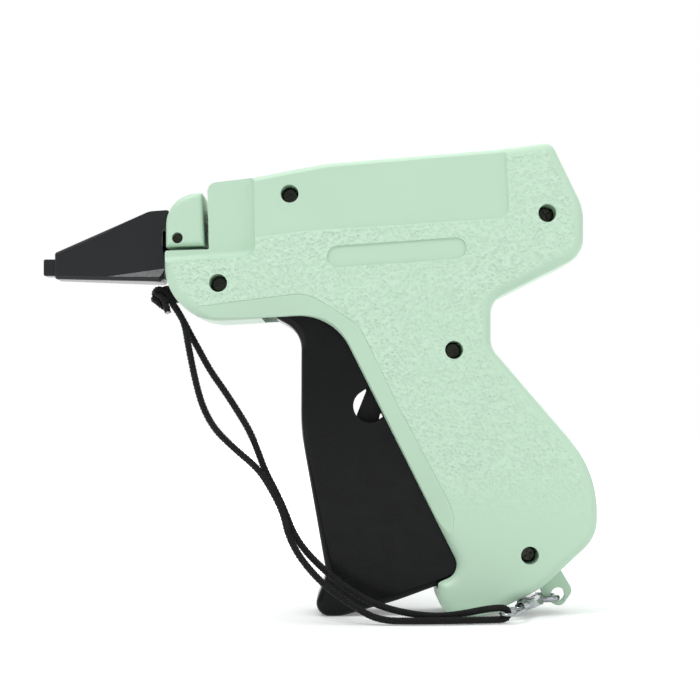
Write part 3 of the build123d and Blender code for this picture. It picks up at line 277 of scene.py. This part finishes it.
finishes = {
    "mint_abs": mintAbs(),
    # Gloss black ABS from a polished mould: sharp soft-edged reflections over a near-black base.
    "black_gloss": pressedPlastic("polished black ABS", {
        "colour": "#090A0B", "shade": "#0D0E0F", "roughness": (0.2, 0.3), "ior": 1.54, "mirror": 0.14,
        "ripple": 5 * mm, "bump": 0.3, "depth": 0.05 * mm}),
    # Black polypropylene with a fine spark finish: broad dull highlights and a greyer cast.
    "black_matte": pressedPlastic("satin black polypropylene", {
        "colour": "#16181A", "shade": "#1A1C1E", "roughness": (0.42, 0.55), "ior": 1.49, "mirror": 0.3,
        "ripple": 0.35 * mm, "bump": 0.35, "depth": 0.02 * mm}),
    # The cap's black ABS: less polished than the trigger, so that it only shines at a glancing angle.
    "cap_gloss": pressedPlastic("half-gloss black ABS", {
        "colour": "#15171A", "shade": "#181A1D", "roughness": (0.28, 0.36), "ior": 1.54, "mirror": 0.3,
        "ripple": 0.5 * mm, "bump": 0.25, "depth": 0.02 * mm}),
    # Acetal: waxy white with a slight yellow cast.
    "white_acetal": pressedPlastic("moulded white acetal", {
        "colour": "#ECEBE4", "shade": "#E4E2D8", "roughness": (0.30, 0.42), "ior": 1.48,
        "ripple": 0.8 * mm, "bump": 0.3, "depth": 0.02 * mm}),
    # Drawn and ground steel: bright, with fine lines.
    "bright_steel": rolledMetal("drawn bright steel", {
        "colour": "#C9CCD0", "shade": "#B7BBC0", "roughness": (0.16, 0.32), "hair": 0.25 * mm,
        "stretch": (1.0, 1.0, 6.0), "bump": 0.2}),
    # Zinc-plated screw steel: greyer and cloudier.
    "zinc_steel": rolledMetal("zinc-plated screw steel", {
        "colour": "#3F413B", "shade": "#272822", "roughness": (0.22, 0.4), "hair": 0.3 * mm,
        "stretch": (1.0, 1.0, 1.0), "bump": 0.35}),
    # Blackened steel: oiled black oxide, dull with a dark shine.
    "black_steel": rolledMetal("black-oxide steel", {
        "colour": "#1B1C1E", "shade": "#262729", "roughness": (0.35, 0.5), "hair": 0.3 * mm,
        "stretch": (1.0, 1.0, 1.0), "bump": 0.3}),
    # Chromed zinc casting: near mirror, with faint polishing marks.
    "chrome": rolledMetal("chromed zinc casting", {
        "colour": "#B4B8BC", "shade": "#8F9397", "roughness": (0.06, 0.16), "hair": 0.5 * mm,
        "stretch": (1.0, 1.0, 1.0), "bump": 0.12}),
    # Moulded rubber: dull, slightly grey.
    "rubber": pressedPlastic("moulded black rubber", {
        "colour": "#1E1E1F", "shade": "#262627", "roughness": (0.7, 0.85), "ior": 1.52,
        "ripple": 0.4 * mm, "bump": 0.4, "depth": 0.03 * mm}),
    "braid": braidedNylon(),
    "cutEnd": cutEnd(),
}

nodeFinishes = {
    "left_shell": "mint_abs", "right_shell": "mint_abs", "nose_block": "mint_abs",
    "trigger": "black_gloss", "needle_cap": "cap_gloss", "needle_base": "black_matte",
    "needle_holder": "black_matte", "strap_anchor": "black_matte",
    "drive_lever": "black_matte", "slider": "white_acetal", "rod_bush": "white_acetal",
    "feed_wheel": "white_acetal", "ratchet_wheel": "white_acetal", "pawl": "bright_steel",
    "needle_tube": "bright_steel", "ejector_rod": "bright_steel", "drive_pin": "bright_steel",
    "lever_pin": "bright_steel", "trigger_pin": "bright_steel", "link_pin": "black_steel",
    "feed_axle": "bright_steel", "return_spring": "bright_steel",
    "case_screws": "zinc_steel", "nose_screw": "zinc_steel",
    "clasp_body": "chrome", "clasp_gate": "chrome", "gate_pin": "bright_steel", "clasp_eye": "chrome",
    "end_bumper": "rubber", "wrist_strap": "braid", "strap_knot": "braid",
}
for nodeName, finish in nodeFinishes.items():
    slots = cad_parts[nodeName].data.materials
    if not slots:
        slots.append(finishes[finish])
    for i in range(len(slots)):
        slots[i] = finishes[finish]
print("finishes made:", len(finishes))


# ---- wrist strap: one braided cord, folded double, both ends knotted round the anchor

strapSet = {
    "route": [
        (-41.0, -2.4, 85.7), (-39.3, -3.0, 83.4), (-37.5, -4.0, 80.2), (-36.6, -5.2, 75.5),
        (-35.4, -6.2, 69.6), (-33.9, -7.2, 63.0), (-32.0, -8.4, 56.8), (-28.6, -9.8, 50.8),
        (-22.6, -12.2, 45.3), (-16.4, -15.6, 40.4), (-12.6, -17.8, 34.6), (-9.6, -19.5, 28.8),
        (-8.2, -20.9, 22.6), (-4.4, -23.4, 16.2), (1.6, -26.0, 10.0), (8.6, -27.4, 5.2),
        (15.6, -28.2, 1.15), (26.4, -28.4, 1.15), (37.0, -27.6, 1.15), (45.0, -26.0, 1.15),
        (49.8, -25.0, 1.15), (49.8, -25.0, 4.25), (45.0, -25.2, 4.1), (37.0, -25.2, 2.5),
        (31.0, -25.8, 2.0), (24.0, -26.2, 2.7), (15.8, -26.0, 4.7), (8.2, -25.0, 8.6),
        (1.8, -23.2, 13.5), (-3.9, -20.8, 18.9), (-7.2, -18.5, 23.8), (-9.2, -17.0, 29.0),
        (-11.8, -15.3, 34.4), (-14.8, -13.4, 39.8), (-16.8, -12.2, 45.2), (-19.2, -11.0, 50.8),
        (-22.6, -9.4, 56.2), (-26.4, -7.2, 61.8), (-30.4, -5.0, 67.2), (-33.6, -2.8, 72.9),
        (-36.2, -0.8, 77.3), (-38.3, 0.6, 81.3), (-40.7, 0.9, 85.2),
    ],
    "diameter": 2.1 * mm, "length": 284.0 * mm,
    "strands": 12, "turn": 7.2 * mm, "strand": 0.27 * mm, "weave": 0.2 * mm, "step": 0.35 * mm,
    "curveSteps": 12, "strandSides": 6, "coreSides": 10,
}


def smoothLine(name, points):
    # NURBS spline with the route's points as its control points
    curve = bpy.data.curves.new(name, "CURVE")
    curve.dimensions = "3D"
    curve.resolution_u = strapSet["curveSteps"]
    spline = curve.splines.new("NURBS")
    spline.points.add(len(points) - 1)
    for point, (x, y, z) in zip(spline.points, points):
        point.co = (x * mm, y * mm, z * mm, 1.0)
    spline.order_u = 3
    spline.use_endpoint_u = True
    line = bpy.data.objects.new(name, curve)
    scene.collection.objects.link(line)
    bpy.context.view_layer.update()
    mesh = bpy.data.meshes.new_from_object(line.evaluated_get(bpy.context.evaluated_depsgraph_get()))
    path = [tuple(v.co) for v in mesh.vertices]
    bpy.data.objects.remove(line)
    return path, mesh


def braidTree():
    # a tubular braid: half the strands wind one way, half the other, each over one and under one
    tree = bpy.data.node_groups.new("braid", "GeometryNodeTree")
    face = tree.interface
    face.new_socket("Geometry", in_out="INPUT", socket_type="NodeSocketGeometry")
    face.new_socket("Geometry", in_out="OUTPUT", socket_type="NodeSocketGeometry")
    for label, kind in (
            ("Radius", "NodeSocketFloat"), ("Strands", "NodeSocketInt"), ("Turn", "NodeSocketFloat"),
            ("Strand", "NodeSocketFloat"), ("Weave", "NodeSocketFloat"), ("Step", "NodeSocketFloat"),
            ("Material", "NodeSocketMaterial")):
        face.new_socket(label, in_out="INPUT", socket_type=kind)
    given = addNode(tree, "NodeGroupInput").outputs
    line = addNode(tree, "GeometryNodeMeshToCurve", {"Mesh": given["Geometry"]})
    even = addNode(tree, "GeometryNodeResampleCurve", {"Curve": line.outputs[0], "Length": given["Step"]},
                   mode="LENGTH")
    copies = addNode(tree, "GeometryNodeDuplicateElements", {"Geometry": even.outputs[0],
                     "Amount": given["Strands"]}, domain="SPLINE")
    along = addNode(tree, "GeometryNodeSplineParameter").outputs["Length"]
    tau = 2 * math.pi
    turned = addNode(tree, "ShaderNodeMath", {0: along, 1: given["Turn"]}, operation="DIVIDE")
    phase = addNode(tree, "ShaderNodeMath", {0: turned.outputs[0], 1: tau}, operation="MULTIPLY")
    number = copies.outputs["Duplicate Index"]
    half = addNode(tree, "ShaderNodeMath", {0: given["Strands"], 1: 0.5}, operation="MULTIPLY")
    odd = addNode(tree, "ShaderNodeMath", {0: number, 1: 2.0}, operation="MODULO")
    way = addNode(tree, "ShaderNodeMath", {0: odd.outputs[0], 1: -2.0, 2: 1.0}, operation="MULTIPLY_ADD")
    pair = addNode(tree, "ShaderNodeMath", {0: number, 1: 0.5}, operation="MULTIPLY")
    pairWhole = addNode(tree, "ShaderNodeMath", {0: pair.outputs[0]}, operation="FLOOR")
    share = addNode(tree, "ShaderNodeMath", {0: pairWhole.outputs[0], 1: half.outputs[0]}, operation="DIVIDE")
    start = addNode(tree, "ShaderNodeMath", {0: share.outputs[0], 1: tau}, operation="MULTIPLY")
    angle = addNode(tree, "ShaderNodeMath", {0: phase.outputs[0], 1: way.outputs[0], 2: start.outputs[0]},
                    operation="MULTIPLY_ADD")
    beat = addNode(tree, "ShaderNodeMath", {0: phase.outputs[0], 1: half.outputs[0]}, operation="MULTIPLY")
    swing = addNode(tree, "ShaderNodeMath", {0: beat.outputs[0]}, operation="COSINE")
    swingWay = addNode(tree, "ShaderNodeMath", {0: swing.outputs[0], 1: way.outputs[0]},
                       operation="MULTIPLY")
    lift = addNode(tree, "ShaderNodeMath", {0: swingWay.outputs[0], 1: given["Weave"]},
                   operation="MULTIPLY")
    inside = addNode(tree, "ShaderNodeMath", {0: given["Radius"], 1: given["Strand"]},
                     operation="SUBTRACT")
    middle = addNode(tree, "ShaderNodeMath", {0: inside.outputs[0], 1: given["Weave"]},
                     operation="SUBTRACT")
    reach = addNode(tree, "ShaderNodeMath", {0: middle.outputs[0], 1: lift.outputs[0]}, operation="ADD")
    tangent = addNode(tree, "GeometryNodeInputTangent")
    normal = addNode(tree, "GeometryNodeInputNormal")
    side = addNode(tree, "ShaderNodeVectorMath", {0: tangent.outputs[0], 1: normal.outputs[0]},
                   operation="CROSS_PRODUCT")
    cosine = addNode(tree, "ShaderNodeMath", {0: angle.outputs[0]}, operation="COSINE")
    sine = addNode(tree, "ShaderNodeMath", {0: angle.outputs[0]}, operation="SINE")
    partA = addNode(tree, "ShaderNodeVectorMath", {0: normal.outputs[0], "Scale": cosine.outputs[0]},
                    operation="SCALE")
    partB = addNode(tree, "ShaderNodeVectorMath", {0: side.outputs[0], "Scale": sine.outputs[0]},
                    operation="SCALE")
    both = addNode(tree, "ShaderNodeVectorMath", {0: partA.outputs[0], 1: partB.outputs[0]}, operation="ADD")
    shift = addNode(tree, "ShaderNodeVectorMath", {0: both.outputs[0], "Scale": reach.outputs[0]},
                    operation="SCALE")
    marked = addNode(tree, "GeometryNodeStoreNamedAttribute", {
        "Geometry": copies.outputs["Geometry"], "Name": "along", "Value": along}, data_type="FLOAT",
        domain="POINT")
    wound = addNode(tree, "GeometryNodeSetPosition", {
        "Geometry": marked.outputs[0], "Offset": shift.outputs[0]})
    ring = addNode(tree, "GeometryNodeCurvePrimitiveCircle", {
        "Resolution": strapSet["strandSides"], "Radius": given["Strand"]})
    ringMarked = addNode(tree, "GeometryNodeStoreNamedAttribute", {
        "Geometry": ring.outputs[0], "Name": "around",
        "Value": addNode(tree, "GeometryNodeSplineParameter").outputs["Factor"]},
        data_type="FLOAT", domain="POINT")
    strands = addNode(tree, "GeometryNodeCurveToMesh", {
        "Curve": wound.outputs[0], "Profile Curve": ringMarked.outputs[0], "Fill Caps": True})
    core = addNode(tree, "GeometryNodeCurvePrimitiveCircle", {
        "Resolution": strapSet["coreSides"], "Radius": middle.outputs[0]})
    tube = addNode(tree, "GeometryNodeCurveToMesh", {
        "Curve": even.outputs[0], "Profile Curve": core.outputs[0], "Fill Caps": True})
    joined = addNode(tree, "GeometryNodeJoinGeometry", {"Geometry": tube.outputs[0]})
    tree.links.new(strands.outputs[0], joined.inputs["Geometry"])
    smooth = addNode(tree, "GeometryNodeSetShadeSmooth", {"Geometry": joined.outputs[0]})
    real = addNode(tree, "GeometryNodeRealizeInstances", {"Geometry": smooth.outputs[0]})
    coated = addNode(tree, "GeometryNodeSetMaterial", {"Geometry": real.outputs[0],
                     "Material": given["Material"]})
    addNode(tree, "NodeGroupOutput", {"Geometry": coated.outputs[0]})
    return tree


def treeMesh(name, mesh, tree, values):
    # runs a node tree over a mesh and gives back one plain mesh object
    holder = bpy.data.objects.new(name + "Line", mesh)
    scene.collection.objects.link(holder)
    modifier = holder.modifiers.new("nodes", "NODES")
    modifier.node_group = tree
    for socket in tree.interface.items_tree:
        if socket.item_type == "SOCKET" and socket.in_out == "INPUT" and socket.name in values:
            modifier[socket.identifier] = values[socket.name]
    bpy.context.view_layer.update()
    plain = bpy.data.meshes.new_from_object(holder.evaluated_get(bpy.context.evaluated_depsgraph_get()))
    bpy.data.objects.remove(holder)
    plain.name = name
    piece = bpy.data.objects.new(name, plain)
    scene.collection.objects.link(piece)
    return piece


braid = braidTree()
braidValues = {
    "Radius": strapSet["diameter"] / 2, "Strands": strapSet["strands"], "Turn": strapSet["turn"],
    "Strand": strapSet["strand"], "Weave": strapSet["weave"], "Step": strapSet["step"],
    "Material": finishes["braid"],
}
strapPath, strapMesh = smoothLine("strapLine", strapSet["route"])
strap = treeMesh("braidedStrap", strapMesh, braid, braidValues)
print("strap braided:", len(strap.data.polygons), "faces")

# the knot: a wrap and a half of the same cord round the anchor's end, crossing in front, with a cut tail
knotSet = {
    "wrap": [
        (-41.0, -2.4, 85.7), (-41.9, -3.0, 87.6), (-43.2, -3.2, 89.4), (-45.0, -2.7, 89.8),
        (-46.2, -0.8, 89.0), (-46.2, 1.4, 87.6), (-45.0, 2.9, 86.4), (-43.2, 2.8, 85.2),
        (-42.8, 0.6, 84.6), (-43.6, -1.8, 84.9), (-45.2, -3.2, 86.2), (-46.2, -2.2, 87.4),
        (-46.3, 0.6, 86.6), (-45.2, 2.6, 88.6), (-43.6, 3.0, 89.4), (-42.2, 2.8, 87.6),
        (-41.4, 2.0, 86.0), (-40.7, 0.9, 85.2),
    ],
    "tail": [
        (-45.4, -2.4, 88.4), (-44.4, -4.1, 88.0), (-43.2, -4.5, 86.8), (-42.5, -4.3, 85.2),
        (-42.1, -4.1, 83.2),
    ],
    "diameter": 2.0 * mm, "endSize": 0.47, "endFlat": 0.45, "lump": 0.06, "lumpsPerMetre": (5000, 3100),
}
knotValues = dict(braidValues, Radius=knotSet["diameter"] / 2)
knotParts = []
for label, pieceName in (("wrap", "strapKnot"), ("tail", "knotTail")):
    knotLine = smoothLine(label + "Line", knotSet[label])[1]
    knotParts.append(treeMesh(pieceName, knotLine, braid, knotValues))
tailEnd = Vector(knotSet["tail"][-1]) * mm
tailWay = (tailEnd - Vector(knotSet["tail"][-2]) * mm).normalized()


def tailCap():
    # the melted end of the tail
    mesh = bpy.data.meshes.new("knotTailEnd")
    shape = bmesh.new()
    bmesh.ops.create_icosphere(shape, subdivisions=3, radius=knotSet["diameter"] * knotSet["endSize"])
    acrossX, acrossY = knotSet["lumpsPerMetre"]
    for vert in shape.verts:
        bulge = 1 + knotSet["lump"] * math.sin(vert.co.x * acrossX + vert.co.y * acrossY)
        vert.co = vert.co * bulge
        vert.co.z *= knotSet["endFlat"]
    turn = Vector((0, 0, 1)).rotation_difference(tailWay).to_matrix().to_4x4()
    turn.translation = tailEnd
    shape.transform(turn)
    shape.to_mesh(mesh)
    shape.free()
    for face in mesh.polygons:
        face.use_smooth = True
    mesh.materials.append(finishes["cutEnd"])
    piece = bpy.data.objects.new("knotTailEnd", mesh)
    scene.collection.objects.link(piece)
    return piece


knotEnd = tailCap()
print("knot tied")

for piece in [strap, knotEnd] + knotParts:
    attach(piece, "housing")
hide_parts("wrist_strap")
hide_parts("strap_knot")

# ---- floor, light and world
stageSet = {
    "floor": "#EEEFEF", "size": 3.0, "drop": 0.00003, "roughness": 0.9, "mirror": 0.1,
    "glow": 0.2, "glowFar": 1.0, "near": 0.12, "far": 0.45,
    "ambient": 0.6, "wallFrom": -0.3, "wallTo": 0.4, "aim": (0, 0, 0.06),
}


def stageMaterial():
    # matt paper floor: takes the shadow; what the eye and mirrors see of it is lifted to white
    material, tree, shader, place = startMaterial("matt white paper")
    shader.inputs["Base Color"].default_value = fromHex(stageSet["floor"])
    shader.inputs["Roughness"].default_value = stageSet["roughness"]
    shader.inputs["Specular IOR Level"].default_value = stageSet["mirror"]
    rays = addNode(tree, "ShaderNodeLightPath")
    seen = addNode(tree, "ShaderNodeMath", {
        0: rays.outputs["Is Camera Ray"], 1: rays.outputs["Is Glossy Ray"]}, operation="MAXIMUM")
    seenAll = addNode(tree, "ShaderNodeMath", {0: seen.outputs[0], 1: rays.outputs["Is Transmission Ray"]},
                      operation="MAXIMUM")
    # whiter away from the gun, so that the floor meets the white background without an edge
    away = addNode(tree, "ShaderNodeVectorMath", {0: place.outputs["Object"]}, operation="LENGTH")
    level = addNode(tree, "ShaderNodeMapRange", {
        "Value": away.outputs["Value"], "From Min": stageSet["near"], "From Max": stageSet["far"],
        "To Min": stageSet["glow"], "To Max": stageSet["glowFar"]})
    glow = addNode(tree, "ShaderNodeMath", {0: seenAll.outputs[0], 1: level.outputs[0]}, operation="MULTIPLY")
    shader.inputs["Emission Color"].default_value = (1, 1, 1, 1)
    tree.links.new(glow.outputs[0], shader.inputs["Emission Strength"])
    return material


floorMesh = bpy.data.meshes.new("floor")
edge = stageSet["size"]
corners = [(-edge, -edge, 0), (edge, -edge, 0), (edge, edge, 0), (-edge, edge, 0)]
floorMesh.from_pydata(corners, [], [(0, 1, 2, 3)])
floorMesh.materials.append(stageMaterial())
floor = bpy.data.objects.new("floor", floorMesh)
floor.location.z = -stageSet["drop"]
scene.collection.objects.link(floor)

# even light all round; mirrors see a white wall behind the gun, and the background is plain white
world = bpy.data.worlds.new("studio")
scene.world = world
world.use_nodes = True
world.node_tree.nodes.clear()
rays = addNode(world.node_tree, "ShaderNodeLightPath")
coords = addNode(world.node_tree, "ShaderNodeTexCoord")
split = addNode(world.node_tree, "ShaderNodeSeparateXYZ", {0: coords.outputs["Generated"]})
backWall = addNode(world.node_tree, "ShaderNodeMapRange", {
    "Value": split.outputs["Y"], "From Min": stageSet["wallFrom"], "From Max": stageSet["wallTo"]})
mirror = addNode(world.node_tree, "ShaderNodeMath", {
    0: rays.outputs["Is Glossy Ray"], 1: backWall.outputs[0]}, operation="MULTIPLY")
direct = addNode(world.node_tree, "ShaderNodeMath", {
    0: rays.outputs["Is Camera Ray"], 1: rays.outputs["Is Transmission Ray"]}, operation="MAXIMUM")
seen = addNode(world.node_tree, "ShaderNodeMath", {0: mirror.outputs[0], 1: direct.outputs[0]},
               operation="MAXIMUM")
strength = addNode(world.node_tree, "ShaderNodeMapRange", {
    "Value": seen.outputs[0], "To Min": stageSet["ambient"], "To Max": 1.0})
sky = addNode(world.node_tree, "ShaderNodeBackground", {
    "Color": (1, 1, 1, 1), "Strength": strength.outputs[0]})
addNode(world.node_tree, "ShaderNodeOutputWorld", {"Surface": sky.outputs[0]})

lamps = {
    "key": {"place": (-0.40, -0.60, 0.95), "size": 0.3, "power": 4.5},
    "fill": {"place": (0.75, -0.65, 0.45), "size": 0.8, "power": 1.8},
    "top": {"place": (0.05, 0.10, 1.00), "size": 0.9, "power": 3.0},
    "back": {"place": (0.30, 0.80, 0.55), "size": 0.7, "power": 2.0},
}
for name, lamp in lamps.items():
    data = bpy.data.lights.new(name, "AREA")
    data.size = lamp["size"]
    data.energy = lamp["power"]
    light = bpy.data.objects.new(name, data)
    light.location = lamp["place"]
    aim = Vector(stageSet["aim"]) - Vector(lamp["place"])
    light.rotation_euler = aim.to_track_quat("-Z", "Y").to_euler()
    scene.collection.objects.link(light)
scene.view_settings.view_transform = "Standard"
print("stage lit")
